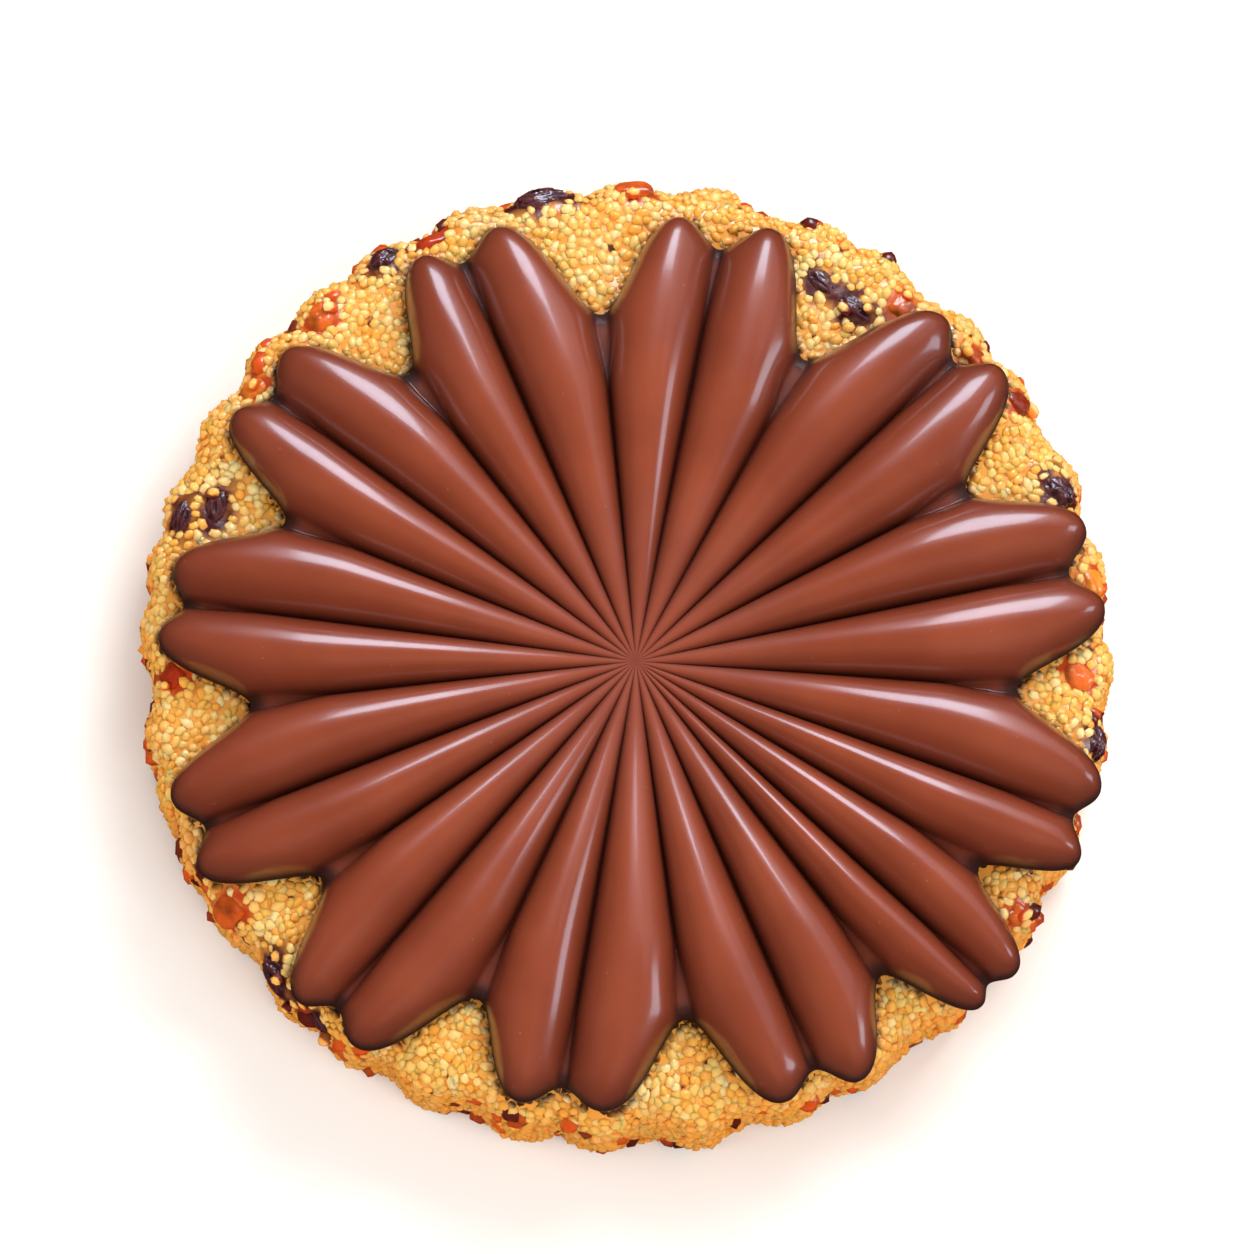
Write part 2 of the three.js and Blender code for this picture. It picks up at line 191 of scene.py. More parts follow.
def flower_height(points, outline):
    """Height over the flat underside along one ring, and how near each point is to its lobe's crest, with the
    webs counted partly as crest; the material paints shade into the chocolate where this is low.
    Each lobe is blown up between its two grooves and the outline, so that its section is an arch and its
    crest bends smoothly to its tip."""
    radius = np.hypot(*points.T)
    azimuth, _, before, before_reach, after, after_reach = outline.T
    past_before = radius * np.sin(np.radians(np.minimum((azimuth - before) % 360, 90)))
    short_of_after = radius * np.sin(np.radians(np.minimum((after - azimuth) % 360, 90)))
    sector_width = radius * np.radians((after - before) % 360)

    grown = np.minimum(radius / lobe_rise_radius, 1)
    to_edge = distance_to_edge(points)
    rooms = [to_edge * (1 + to_edge / edge_roll)]
    foot = foot_round * grown
    web = np.zeros(len(points))
    for away, reach in ((past_before, before_reach), (short_of_after, after_reach)):
        share = np.clip((radius - reach + web_length) / web_length, 0, 1)
        opened = share ** 2 * (3 - 2 * share) * np.where(reach > dent_reach, dent_web, 1)
        rooms.append(rounded_off(np.maximum(away - web_half * opened, 0), groove_round * grown))
        foot = np.maximum(foot, foot_round * grown + web_foot * opened * np.exp(-(away / web_reach) ** 2))
        web = np.maximum(web, opened * np.exp(-(away / web_half) ** 2))
    room = sum(np.maximum(away, 1e-9) ** -ridge_join for away in rooms) ** (-1 / ridge_join)
    full_room = (2 * (sector_width / 2) ** -ridge_join) ** (-1 / ridge_join)
    outward = radius / lobe_rise_radius
    rise = lobe_rise * outward / (1 + outward ** rise_power) ** (1 / rise_power)
    rise = rise * radius / (radius + level_middle)
    droop = 1 - lobe_droop * np.clip((radius - droop_start) / droop_length, 0, 1) ** 2
    fullness = np.sqrt(room / full_room)
    blown = rounded_off(rise * droop * fullness, foot)
    rim = np.minimum(1, to_edge / chocolate_floor)
    floor = undercut_height + (chocolate_floor - undercut_height) * np.sqrt(1 - (1 - rim) ** 2)
    return floor + blown, np.maximum(fullness, web_unshaded_share * web)


def deselect_everything():
    """Leaves nothing selected, so that the next operator acts on its own piece alone."""
    for thing in bpy.context.view_layer.objects:
        thing.select_set(False)


def keep_numbers(piece, name, values):
    """Stores one number for each vertex, which a material reads by name."""
    attribute = piece.data.attributes.new(name, "FLOAT", "POINT")
    attribute.data.foreach_set("value", np.asarray(values, np.float32))


def wrapped_sheet(name, rows, numbers=()):
    """A closed piece from rows of points, each once round it, with a pole for first and last row, and
    with named numbers for its points."""
    count, around = rows.shape[:2]
    deselect_everything()
    bpy.ops.mesh.primitive_grid_add(x_subdivisions=around, y_subdivisions=count - 1)
    piece = bpy.context.object
    piece.name = name
    piece.data.name = name
    seamed = np.concatenate([rows, rows[:, :1]], axis=1)
    piece.data.vertices.foreach_set("co", seamed.reshape(-1))
    for trait, values in dict(numbers).items():
        keep_numbers(piece, trait, np.concatenate([values, values[:, :1]], axis=1).reshape(-1))
    bpy.ops.object.mode_set(mode="EDIT")
    bpy.ops.mesh.select_all(action="SELECT")
    bpy.ops.mesh.remove_doubles(threshold=1e-7)
    bpy.ops.mesh.normals_make_consistent(inside=False)
    bpy.ops.object.mode_set(mode="OBJECT")
    bpy.ops.object.shade_smooth()
    return piece


flower_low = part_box("chocolate_flower")[0]
model_outline = flower_outline(model_flank_steps, model_dent_steps)
model_points = flat_points(model_outline[:, 0], model_outline[:, 1])
flower_centre = np.array(flower_low[:2]) - model_points.min(axis=0)
flower_base = flower_low[2]

outline = flower_outline(flank_steps, dent_steps)
outline_points = flat_points(outline[:, 0], outline[:, 1])

inner_part = 0.70  # of the way from the middle to the outline; the rows crowd together beyond it
inner_shares = np.linspace(0.015, inner_part, 24)
outer_shares = 1 - (1 - inner_part) * np.linspace(1, 0, 40)[1:] ** 1.7
undercut_turns = np.radians([25, 50, 72, 90])
flower_rows = []
crest_rows = []
for share in np.concatenate([inner_shares, outer_shares]):
    height, fullness = flower_height(outline_points * share, outline)
    flower_rows.append(np.column_stack([outline_points * share, height]))
    crest_rows.append(fullness)
outline_radius = outline[:, 1]
for turn in undercut_turns:
    inset = undercut * (1 - math.cos(turn))
    ring = outline_points * ((outline_radius - inset) / outline_radius)[:, None]
    height = np.full(len(ring), undercut_height * (1 - math.sin(turn)))
    flower_rows.append(np.column_stack([ring, height]))
    crest_rows.append(np.zeros(len(ring)))
flower_rows.insert(0, np.tile((0, 0, chocolate_floor), (len(outline), 1)))
crest_rows.insert(0, np.full(len(outline), 0.5))
flower_rows.append(np.zeros((len(outline), 3)))
crest_rows.append(np.zeros(len(outline)))
flower_rows = np.array(flower_rows) + (*flower_centre, flower_base)

chocolate = wrapped_sheet("chocolate_petals", flower_rows, {"crest": np.array(crest_rows)})


def paint(red, green, blue):
    """A colour given as it looks on a screen, 0 to 255, as linear light."""
    values = np.array([red, green, blue]) / 255
    linear = np.where(values <= 0.04045, values / 12.92, ((values + 0.055) / 1.055) ** 2.4)
    return (*(float(value) for value in linear), 1.0)


class Finish:
    """A material with short ways to add and join its nodes."""

    def __init__(self, name):
        self.material = bpy.data.materials.new(name)
        self.material.use_nodes = True
        self.tree = self.material.node_tree
        self.shader = self.tree.nodes["Principled BSDF"]
        self.place = self.add("ShaderNodeTexCoord").outputs["Object"]

    def add(self, kind, settings=(), **inputs):
        """A node with properties and inputs; an input that is another node's output is joined to it."""
        node = self.tree.nodes.new(kind)
        for key, value in dict(settings).items():
            setattr(node, key, value)
        for key, value in inputs.items():
            self.put(node.inputs[int(key[1:]) if key[1:].isdigit() else key.replace("_", " ")], value)
        return node

    def put(self, socket, value):
        if isinstance(value, bpy.types.NodeSocket):
            self.tree.links.new(value, socket)
        else:
            socket.default_value = value

    def set(self, **inputs):
        """Inputs of the main shader."""
        for key, value in inputs.items():
            self.put(self.shader.inputs[key.replace("_", " ")], value)

    def math(self, operation, first, second=0.0):
        return self.add("ShaderNodeMath", {"operation": operation}, i0=first, i1=second).outputs[0]

    def times(self, first, second):
        return self.math("MULTIPLY", first, second)

    def noise(self, scale, detail=3.0, roughness=0.5, place=None):
        node = self.add("ShaderNodeTexNoise", Vector=place or self.place, Scale=scale, Detail=detail,
                        Roughness=roughness)
        return node.outputs["Fac"]

    def span(self, value, low, high, to_low=0.0, to_high=1.0):
        """A value spread from one range to another, held at the ends."""
        node = self.add("ShaderNodeMapRange", i0=value, i1=low, i2=high, i3=to_low, i4=to_high)
        return node.outputs[0]

    def mix(self, share, first, second):
        """From the first colour to the second as the share goes from 0 to 1."""
        node = self.add("ShaderNodeMix", {"data_type": "RGBA"})
        self.put(node.inputs[0], share)
        self.put(node.inputs[6], first)
        self.put(node.inputs[7], second)
        return node.outputs[2]

    def attribute(self, name):
        return self.add("ShaderNodeAttribute", {"attribute_name": name}).outputs["Fac"]

    def bump(self, height, strength, distance):
        node = self.add("ShaderNodeBump", Height=height, Strength=strength, Distance=distance)
        return node.outputs["Normal"]


def vertex_places(piece):
    """The points of a piece's mesh."""
    values = np.zeros(len(piece.data.vertices) * 3, np.float32)
    piece.data.vertices.foreach_get("co", values)
    return values.reshape(-1, 3).astype(float)


def inside_outline(points):
    """How far inside the flower's outline points lie, measured along the radius."""
    from_centre = points[:, :2] - flower_centre
    azimuth = np.degrees(np.arctan2(from_centre[:, 1], from_centre[:, 0])) % 360
    order = np.argsort(outline[:, 0] % 360)
    reach = np.interp(azimuth, (outline[:, 0] % 360)[order], outline[:, 1][order], period=360)
    return reach - np.hypot(*from_centre.T)


low_edge_top = 4.2 * mm  # the foot of the petals, duller and painted dark as shade: its top, how it fades, and how wide it is
low_edge_fade = 2.2 * mm
low_edge_width = 1.6 * mm
chocolate_points = vertex_places(chocolate)
low = np.clip((low_edge_top - (chocolate_points[:, 2] - flower_base)) / low_edge_fade, 0, 1)
near_outline = np.clip(2 - inside_outline(chocolate_points) / low_edge_width, 0, 1)
keep_numbers(chocolate, "shaded_dull_foot", low * near_outline)

flow_mark_length = 0.6 * mm  # of the fine marks that the setting chocolate leaves across its lobes
flow_marks_round = 34.0  # how many, in a radian
gloss = 0.6
milk_chocolate = Finish("milk_chocolate")
centred = milk_chocolate.add(
    "ShaderNodeMapping", i0=milk_chocolate.place,
    Location=(-flower_centre[0], -flower_centre[1], 0)).outputs[0]
parts = milk_chocolate.add("ShaderNodeSeparateXYZ", i0=centred).outputs
azimuth_turn = milk_chocolate.math("ARCTAN2", parts[1], parts[0])
radius_out = milk_chocolate.math("SQRT", milk_chocolate.math(
    "ADD", milk_chocolate.times(parts[0], parts[0]), milk_chocolate.times(parts[1], parts[1])))
flow_place = milk_chocolate.add(
    "ShaderNodeCombineXYZ", i0=milk_chocolate.times(radius_out, 1 / flow_mark_length),
    i1=milk_chocolate.times(azimuth_turn, flow_marks_round), i2=0.0).outputs[0]
flow_marks = milk_chocolate.noise(1.0, 2.0, 0.5, flow_place)
clouds = milk_chocolate.noise(60.0, 3.0, 0.5)
specks = milk_chocolate.add("ShaderNodeTexVoronoi", Vector=milk_chocolate.place, Scale=260.0)
speck = milk_chocolate.span(specks.outputs["Distance"], 0.02, 0.05, 1.0, 0.0)
crest_brown = milk_chocolate.mix(
    milk_chocolate.span(clouds, 0.35, 0.65), paint(126, 56, 34), paint(138, 64, 40))
# Painted shade: the chocolate is painted darker away from its lobes' crests, in the grooves and under the
# foot, and less so in the webs.
crest = milk_chocolate.span(milk_chocolate.attribute("crest"), 0.1, 0.95)
brown = milk_chocolate.mix(crest, paint(86, 35, 24), crest_brown)
polish = milk_chocolate.span(radius_out, 10 * mm, 30 * mm)  # the middle of the mould is duller
shaded_dull_foot = milk_chocolate.attribute("shaded_dull_foot")
speckled = milk_chocolate.mix(milk_chocolate.times(speck, 0.3), brown, paint(190, 130, 105))
dullness = milk_chocolate.math(
    "MAXIMUM", milk_chocolate.times(shaded_dull_foot, 0.5), milk_chocolate.span(polish, 0.0, 1.0, 0.35, 0.0))
# Painted shade: the foot of the petals is painted near black where they meet the grains; it is also duller,
# with less coat.
milk_chocolate.set(
    Base_Color=milk_chocolate.mix(shaded_dull_foot, speckled, paint(46, 19, 13)),
    Roughness=milk_chocolate.math("ADD", milk_chocolate.span(flow_marks, 0.3, 0.7, 0.32, 0.38), dullness),
    Coat_Weight=milk_chocolate.times(
        milk_chocolate.times(polish, gloss), milk_chocolate.math("SUBTRACT", 1.0, shaded_dull_foot)),
    IOR=1.4, Coat_Roughness=0.14,
    Subsurface_Weight=0.08, Subsurface_Radius=(1.0, 0.35, 0.2), Subsurface_Scale=1.5 * mm,
    Normal=milk_chocolate.bump(flow_marks, 0.25, 0.05 * mm))
chocolate.data.materials.append(milk_chocolate.material)
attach(chocolate, "root")
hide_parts("chocolate_flower")


# ---- The round of baked grains: its core ----
# Millet-like grains bound with syrup and baked to a thick round. The core is the amber syrup between
# the grains, a closed body just under them, roughened in clumps.

cookie_centre = flower_centre - np.array([1.45, -3.4]) * mm  # the flower lies off the middle by this
cookie_radius = 73.4 * mm
cookie_height = 19.5 * mm
cookie_oval = 0.5 * mm
shoulder_radius = 5.5 * mm
foot_radius = 3.0 * mm
lump_azimuths = [
    10, 22, 35, 44, 57, 65, 79, 90, 100, 110, 121, 131, 140, 150, 161, 169, 177, 191, 198, 206, 213, 226,
    235, 246, 257, 267, 279, 290, 300, 312, 325, 336, 348, 358,
]
lump_height = 2.2 * mm
lump_half_width = 3.7  # degrees
lump_valley = 0.7 * mm
clump_size = 5.5 * mm
clump_height = 0.32 * mm
crumb_size = 2.4 * mm
crumb_height = 0.22 * mm
heave_level = -0.18 * mm

half_shoulder = shoulder_radius * math.pi / 4
wall_height = cookie_height - shoulder_radius - foot_radius
wall_end = half_shoulder + wall_height
foot_end = wall_end + foot_radius * math.pi / 2


def wall_radius(azimuth):
    """Radius of the upright wall, with the rim's lumps."""
    bulge = np.zeros(np.shape(azimuth))
    for lump in lump_azimuths:
        away = ((azimuth - lump + 180) % 360 - 180) / lump_half_width
        bulge = np.maximum(bulge, lump_height * np.exp(-away ** 2))
    return cookie_radius - cookie_oval * np.cos(np.radians(2 * azimuth)) + bulge - lump_valley


def skin(azimuth, down):
    """Points of the smooth skin and their outward directions. Down is the distance over the rim from
    the middle of the shoulder: negative on the top, then the shoulder, the wall, the foot, the underside."""
    outer = wall_radius(azimuth)
    past_wall = np.clip(down - wall_end, 0, foot_radius * math.pi / 2) / foot_radius
    lean = np.clip(np.pi / 4 + down / shoulder_radius, 0, np.pi / 2) + past_wall
    on_top = np.minimum(down + half_shoulder, 0)
    on_wall = np.clip(down - half_shoulder, 0, wall_height)
    below = np.maximum(down - foot_end, 0)
    upper = lean < np.pi / 2
    bend = np.where(upper, shoulder_radius, foot_radius)
    radius = outer + bend * (np.sin(lean) - 1) + on_top - below
    height = np.where(
        upper, cookie_height - shoulder_radius * (1 - np.cos(lean)),
        cookie_height - shoulder_radius - on_wall + foot_radius * np.cos(lean))
    turn = np.radians(azimuth)
    across = np.stack([np.cos(turn), np.sin(turn)], axis=-1)
    points = np.concatenate([across * radius[..., None] + cookie_centre, height[..., None]], axis=-1)
    outward = np.concatenate([across * np.sin(lean)[..., None], np.cos(lean)[..., None]], axis=-1)
    return points, outward


def heave(points):
    """How far the crust stands out of the smooth skin, in clumps of a few grains."""
    clump = np.array([noise.noise(Vector(point) / clump_size) for point in points])
    crumb = np.array([noise.noise(Vector(point) / crumb_size + Vector((7, 3, 1))) for point in points])
    return clump_height * clump + crumb_height * crumb + heave_level


# Where the fruit lies: azimuth, distance down over the rim, length, width, thickness, turn of the length
raisins = [
    (100.4, 0.0, 9.0, 5.0, 4.4, 0),
    (163.0, -1.0, 6.0, 4.2, 4.0, 0),
    (160.6, -6.5, 7.4, 3.8, 3.6, 12),
    (121.2, -0.8, 5.4, 4.4, 4.0, 20),
    (20.4, -1.5, 6.0, 5.0, 4.2, 30),
    (348.2, 1.5, 6.0, 4.6, 4.0, 0),
    (62.6, -7.8, 6.2, 3.8, 3.6, -18),
    (56.7, -9.7, 7.0, 4.0, 3.6, -12),
    (224.5, 2.8, 8.6, 5.2, 4.2, -27),
    (232.0, 6.6, 8.6, 5.0, 4.2, -27),
]
candied_pieces = [
    (132.0, -3.2, 5.6, 4.6, 3.8, 30),
    (114.8, 0.3, 6.0, 4.0, 3.6, 10),
    (144.3, -1.0, 5.0, 4.2, 3.6, -20),
    (89.1, 0.3, 7.0, 4.2, 3.6, 0),
    (214.3, 1.2, 6.6, 5.4, 4.2, 90),
    (184.0, -1.4, 4.6, 4.2, 3.4, 45),
    (51.7, -2.9, 4.6, 4.4, 3.4, 0),
    (40.2, -0.9, 5.0, 4.0, 3.4, 0),
    (32.8, -0.4, 5.0, 4.0, 3.4, 15),
    (355.8, -3.2, 5.4, 4.4, 3.6, 60),
    (8.2, 0.2, 5.0, 4.2, 3.4, 0),
    (324.7, -0.6, 3.8, 3.4, 3.0, 0),
]
fruit_sunk = 0.28  # of a piece's thickness, how deep its middle lies under the skin
raisin_reach = 2.0  # how far the fruit's syrup seeps from its middle, in its own half sizes
candied_reach = 1.7
soaked_margin = 0.4 * mm
blotch_size = 2.1 * mm
blotch_strength = 1.2


def fruit_frame(azimuth, down, length, width, thickness, turn):
    """Where a piece of fruit lies: its lengthways, widthways and outward directions, middle and half size."""
    points, outward = skin(np.array([float(azimuth)]), np.array([down * mm]))
    outward = Vector(outward[0])
    lengthways = Vector((-math.sin(math.radians(azimuth)), math.cos(math.radians(azimuth)), 0))
    lengthways.rotate(Matrix.Rotation(math.radians(turn), 3, outward))
    widthways = outward.cross(lengthways)
    middle = Vector(points[0]) - outward * fruit_sunk * thickness * mm
    half = np.array([length, width, thickness]) * mm / 2
    return np.array([lengthways, widthways, outward]), np.array(middle), half


def soaked(points, pieces, reach):
    """How much syrup of these pieces of fruit has seeped in at the points, 0 to 1, fading with distance."""
    most = np.zeros(len(points))
    for sizes in pieces:
        axes, middle, half = fruit_frame(*sizes)
        inside = (points - middle) @ axes.T / (half + soaked_margin)
        away = np.sqrt((inside ** 2 * (1, 1, 0.3)).sum(axis=1))
        most = np.maximum(most, np.clip((reach - away) / (reach - 1), 0, 1))
    blotch = np.array([noise.noise(Vector(point) / blotch_size) for point in points])
    return np.clip(most * (1 + blotch_strength * blotch), 0, 1)


syrup_rise = 0.08 * mm  # how far the syrup stands over the skin
highest_heave = 0.25 * mm
core_lift = 0.1 * mm  # how far the syrup stays off the table, under the lowest grains
round_steps = 620
top_downs = -half_shoulder - np.linspace(24, 0, 21)[:-1] * mm
shoulder_downs = np.linspace(-half_shoulder, half_shoulder, 10)[:-1]
wall_downs = np.linspace(half_shoulder, wall_end, 14)[:-1]
foot_downs = np.linspace(wall_end, foot_end, 7)[:-1]
under_downs = foot_end + np.linspace(0, 66, 45) * mm
core_downs = np.concatenate([top_downs, shoulder_downs, wall_downs, foot_downs, under_downs])
core_azimuths = 360 * np.arange(round_steps) / round_steps
core_rows = []
for down in core_downs:
    points, outward = skin(core_azimuths, np.full(round_steps, down))
    rise = syrup_rise + np.minimum(heave(points), highest_heave)
    points = points + outward * rise[:, None]
    points[:, 2] = np.maximum(points[:, 2], core_lift)
    core_rows.append(points)
core_top = (*cookie_centre, cookie_height + syrup_rise)
core_bottom = (*cookie_centre, core_lift)
core_rows.insert(0, np.tile(core_top, (round_steps, 1)))
core_rows.append(np.tile(core_bottom, (round_steps, 1)))

core = wrapped_sheet("syrup_core", np.array(core_rows))

core_points = vertex_places(core)
keep_numbers(core, "wine", soaked(core_points, raisins, raisin_reach))
keep_numbers(core, "glow", soaked(core_points, candied_pieces, candied_reach))

syrup = Finish("amber_syrup")
# Dark brown flecks in the syrup, at random places.
dark_flecks = syrup.span(syrup.noise(420.0, 2.0), 0.6, 0.7)
amber = syrup.mix(syrup.noise(180.0, 2.0), paint(230, 142, 44), paint(246, 176, 84))
height_z = syrup.add("ShaderNodeSeparateXYZ", i0=syrup.place).outputs[2]
baked_low = syrup.span(height_z, 15 * mm, 3 * mm, 0.0, 0.7)
plain_syrup = syrup.mix(dark_flecks, syrup.mix(baked_low, amber, paint(176, 92, 30)), paint(86, 38, 14))
glowing_syrup = syrup.mix(syrup.attribute("glow"), plain_syrup, paint(186, 62, 18))
syrup.set(
    Base_Color=syrup.mix(syrup.attribute("wine"), glowing_syrup, paint(74, 20, 24)),
    Roughness=0.3, Coat_Weight=0.5, Coat_Roughness=0.12,
    Subsurface_Weight=0.3, Subsurface_Radius=(1.0, 0.45, 0.12), Subsurface_Scale=1.5 * mm,
    Normal=syrup.bump(syrup.noise(900.0, 2.0), 0.5, 0.2 * mm))
core.data.materials.append(syrup.material)
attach(core, "root")
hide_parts("grain_base")


# ---- Raisins ----
# Small dark raisins baked into the crust: wrinkled, nearly black skins with a syrup gloss, and a paler
# wine-red painted on the ridges of their folds as light that shines through them. Each is a ball pressed to
# its size, whose skin is drawn into folds.

fold_depth = 0.16
fold_share = 0.7  # of the skin's relief that its long folds make; the small wrinkles make the rest
raisin_rounds = 6  # subdivisions of the ball


def ball(name, subdivisions):
    """A round ball of even triangles, of radius 1, to be shaped."""
    deselect_everything()
    bpy.ops.mesh.primitive_ico_sphere_add(subdivisions=subdivisions, radius=1)
    piece = bpy.context.object
    piece.name = name
    piece.data.name = name
    bpy.ops.object.shade_smooth()
    return piece


raisin_skin = Finish("raisin_skin")
skin_noise = raisin_skin.noise(500.0, 3.0)
fold_ridge_light = raisin_skin.attribute("fold")
raisin_dark = raisin_skin.mix(raisin_skin.span(skin_noise, 0.4, 0.7), paint(38, 14, 22), paint(66, 26, 34))
# Painted light: the ridges of the folds are painted a paler wine-red, as light shining through and catching
# them.
raisin_skin.set(
    Base_Color=raisin_skin.mix(raisin_skin.span(fold_ridge_light, 0.55, 0.95, 0.0, 0.55), raisin_dark,
                               paint(112, 58, 62)),
    Roughness=raisin_skin.span(skin_noise, 0.3, 0.7, 0.22, 0.45),
    Coat_Weight=0.7, Coat_Roughness=0.1,
    Subsurface_Weight=0.15, Subsurface_Radius=(1.0, 0.2, 0.15), Subsurface_Scale=0.8 * mm,
    Normal=raisin_skin.bump(skin_noise, 0.4, 0.15 * mm))

fruit_frames = []
for number, sizes in enumerate(raisins, 1):
    axes, middle, half = fruit_frame(*sizes)
    fruit_frames.append((axes, middle, half))
    raisin = ball(f"wrinkled_raisin_{number}", raisin_rounds)
    unit = vertex_places(raisin)
    shift = Vector((number * 3.1, number * 1.7, 0))
    folds = np.array([
        1 - abs(noise.noise(Vector((p[0] * 1.3, p[1] * 2.4, p[2] * 2.0)) + shift)) * 2.6 for p in unit])
    small = np.array([1 - abs(noise.noise(Vector(p) * 5.2 + shift)) * 2 for p in unit])
    drawn = np.clip(fold_share * folds + (1 - fold_share) * small, -1, 1)
    local = unit * (1 - fold_depth * 0.75 * (1 - drawn))[:, None] * half
    raisin.data.vertices.foreach_set("co", (local @ axes + middle).reshape(-1))
    keep_numbers(raisin, "fold", (drawn + 1) / 2)
    raisin.data.materials.append(raisin_skin.material)
    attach(raisin, "root")
    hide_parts(f"raisin_{number}")


# ---- Candied fruit ----
# Pieces of orange-red candied fruit, cut small and soaked in syrup, so that they glow. Each is a cut
# cube with worn edges, softened by the baking.

candied_colours = [
    (212, 102, 30), (178, 58, 20), (226, 122, 36), (206, 92, 28), (204, 88, 24), (170, 50, 18),
    (208, 100, 30), (196, 86, 26), (146, 48, 20), (214, 106, 38), (230, 138, 42), (204, 96, 28),
]
cut_sharpness = 3.2  # 2 would be a ball, more is nearer a cube
piece_rounds = 5
bulge_share = 0.12
pore_share = 0.035


def candied_finish(number, colour):
    """Soft, clear, sticky flesh of one colour, with darker veins and a strong gloss."""
    flesh = Finish(f"candied_fruit_{number}")
    veins = flesh.noise(330.0, 3.0)
    deep = tuple(0.45 * value for value in paint(*colour)[:3]) + (1.0,)
    flesh.set(
        Base_Color=flesh.mix(flesh.span(veins, 0.42, 0.68), paint(*colour), deep),
        Roughness=0.3, Coat_Weight=0.5, Coat_Roughness=0.06,
        Subsurface_Weight=0.6, Subsurface_Radius=(1.0, 0.4, 0.1), Subsurface_Scale=2.0 * mm,
        Normal=flesh.bump(flesh.noise(700.0, 2.0), 0.35, 0.2 * mm))
    return flesh.material


for number, (sizes, colour) in enumerate(zip(candied_pieces, candied_colours), 1):
    axes, middle, half = fruit_frame(*sizes)
    fruit_frames.append((axes, middle, half))
    piece = ball(f"candied_piece_{number}", piece_rounds)
    unit = vertex_places(piece)
    cube_reach = (np.abs(unit) ** cut_sharpness).sum(axis=1, keepdims=True) ** (1 / cut_sharpness)
    shift = Vector((number * 2.3, 5.0, number * 1.1))
    bulge = np.array([noise.noise(Vector(p) * 1.4 + shift) for p in unit])
    pores = np.array([noise.noise(Vector(p) * 4.5 + shift) for p in unit])
    local = unit / cube_reach * (1 - bulge_share + bulge_share * bulge + pore_share * pores)[:, None] * half
    piece.data.vertices.foreach_set("co", (local @ axes + middle).reshape(-1))
    piece.data.materials.append(candied_finish(number, colour))
    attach(piece, "root")
    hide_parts(f"candied_fruit_{number}")


# ---- The grains ----
# Plump, half-clear grains of 1.2 to 1.8 mm in three kinds, golden, pale and toasted, stuck in the
# syrup side by side all over the round. Each kind is one bead, modelled once and repeated.

grain_gap = 1.02 * mm
under_spacing = 1.45  # the gaps on the underside, against those that show
grain_cell = 1.75 * mm
grain_tries = 190000
reach_on_top = 22 * mm  # how far in over the top, and over the underside, grains are laid
reach_under = 73 * mm
widest_reach = 76 * mm
smallest_grain = 0.64 * mm
largest_grain = 0.95 * mm
under_growth = 1.25
grain_sunk = 0.58  # of a grain's radius
draws = np.random.default_rng(5)


def spread_places(tries):
    """Places, outward directions and distances down of grains a gap apart, all over the skin."""
    cells = {}
    kept = []
    downs = draws.uniform(-half_shoulder - reach_on_top, foot_end + reach_under, tries)
    azimuths = draws.uniform(0, 360, tries)
    points, outward = skin(azimuths, downs)
    from_axis = np.hypot(*(points[:, :2] - cookie_centre).T)
    fair = draws.uniform(0, widest_reach, tries) < from_axis
    for i in np.flatnonzero(fair):
        gap = grain_gap * (under_spacing if downs[i] > foot_end else 1.0)
        cell = tuple(np.floor(points[i] / grain_cell).astype(int))
        around = [
            j for x in (-1, 0, 1) for y in (-1, 0, 1) for z in (-1, 0, 1)
            for j in cells.get((cell[0] + x, cell[1] + y, cell[2] + z), ())]
        if around and (((points[around] - points[i]) ** 2).sum(axis=1) < gap * gap).any():
            continue
        cells.setdefault(cell, []).append(i)
        kept.append(i)
    return points[kept], outward[kept], downs[kept]


grain_points, grain_outward, grain_downs = spread_places(grain_tries)

# Those far in under the chocolate are left away.
hidden = (grain_downs < 0) & (inside_outline(grain_points) > 3 * mm)
grain_points = grain_points[~hidden]
grain_outward = grain_outward[~hidden]
grain_downs = grain_downs[~hidden]
count = len(grain_points)
under = grain_downs > foot_end

# Some grains lie over the fruit, and the others in its place are left away.
grains_on_fruit = 0.12
lift = heave(grain_points) + draws.uniform(-0.1, 0.1, count) * mm
lift = np.where(grain_downs > foot_end - 1.5 * mm, np.minimum(lift, 0), lift)
near_fruit = np.zeros(count)
dropped = np.zeros(count, bool)
for axes, middle, half in fruit_frames:
    inside = (((grain_points - middle) @ axes.T) / (half + 0.35 * mm))
    inside[:, 2] *= 0.4
    closeness = np.hypot(np.hypot(inside[:, 0], inside[:, 1]), inside[:, 2])
    near_fruit = np.maximum(near_fruit, np.clip(1.9 - closeness, 0, 1))
    covers = closeness < 0.95
    stays = covers & (draws.uniform(0, 1, count) < grains_on_fruit)
    lift = np.where(stays, (half[2] * 0.44 + 0.25 * mm), lift)
    dropped |= covers & ~stays
wine = soaked(grain_points, raisins, raisin_reach)
glow = soaked(grain_points, candied_pieces, candied_reach)
dropped |= draws.uniform(0, 1, count) < 0.4 * np.maximum(wine - 0.3, 0)

# They sink a little along the chocolate's outline.
outline_places = outline_points + flower_centre
beside = ((grain_points[:, None, :2] - outline_places[::4]) ** 2).sum(axis=2)
beside = np.where(grain_downs < 0, np.sqrt(beside.min(axis=1)), 1)
lift = lift - 0.4 * mm * np.clip(1 - beside / (1.2 * mm), 0, 1)

